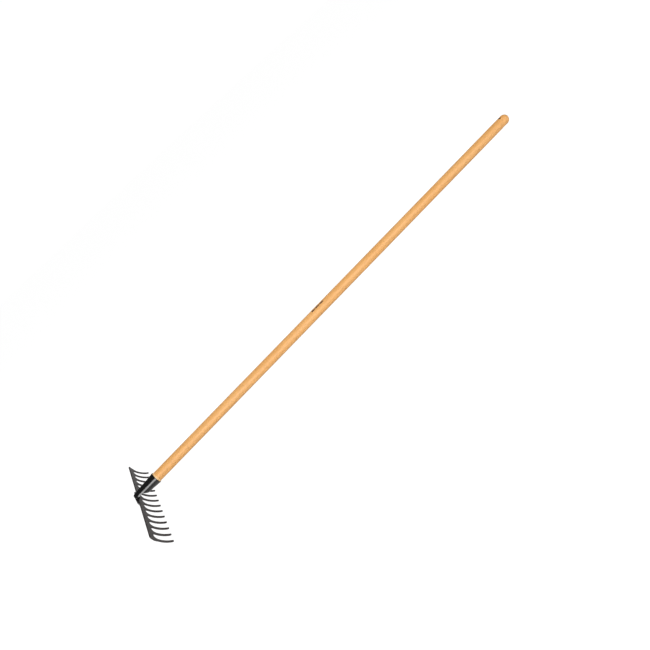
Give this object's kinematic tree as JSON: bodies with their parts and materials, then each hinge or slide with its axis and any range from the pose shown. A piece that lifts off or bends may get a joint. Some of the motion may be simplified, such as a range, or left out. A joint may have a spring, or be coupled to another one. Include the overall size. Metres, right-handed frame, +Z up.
{
  "type": "level-head garden rake",
  "caption": "Garden rake: a curved steel comb of tines welded to a rolled socket that holds a long tapered wooden handle with a domed end and a hanging hole.",
  "frame": {"origin": "centre of the bounding box's footprint, on the floor that the tine tips and the grip end of the handle rest on", "axes": "+Y along the handle from the head to the grip end, +X across the head, +Z up from the floor; the tines hang towards -Z"},
  "size_m": [0.378, 1.4139, 0.0677],
  "materials": {
    "handle_wood": "clear satin varnish over pale wood, warm orange tan, with fine lengthwise grain",
    "comb_steel": "dark grey-black satin paint, worn a little at the edges and tips",
    "socket_steel": "black gloss paint",
    "weld_metal": "black paint over a rippled weld",
    "screw_steel": "zinc plated"
  },
  "bodies": {
    "root": {"handle": "handle_wood", "tine_comb": "comb_steel", "socket": "socket_steel", "front_welds": "weld_metal", "rear_welds": "weld_metal", "fixing_screw": "screw_steel"}
  },
  "joints": []
}
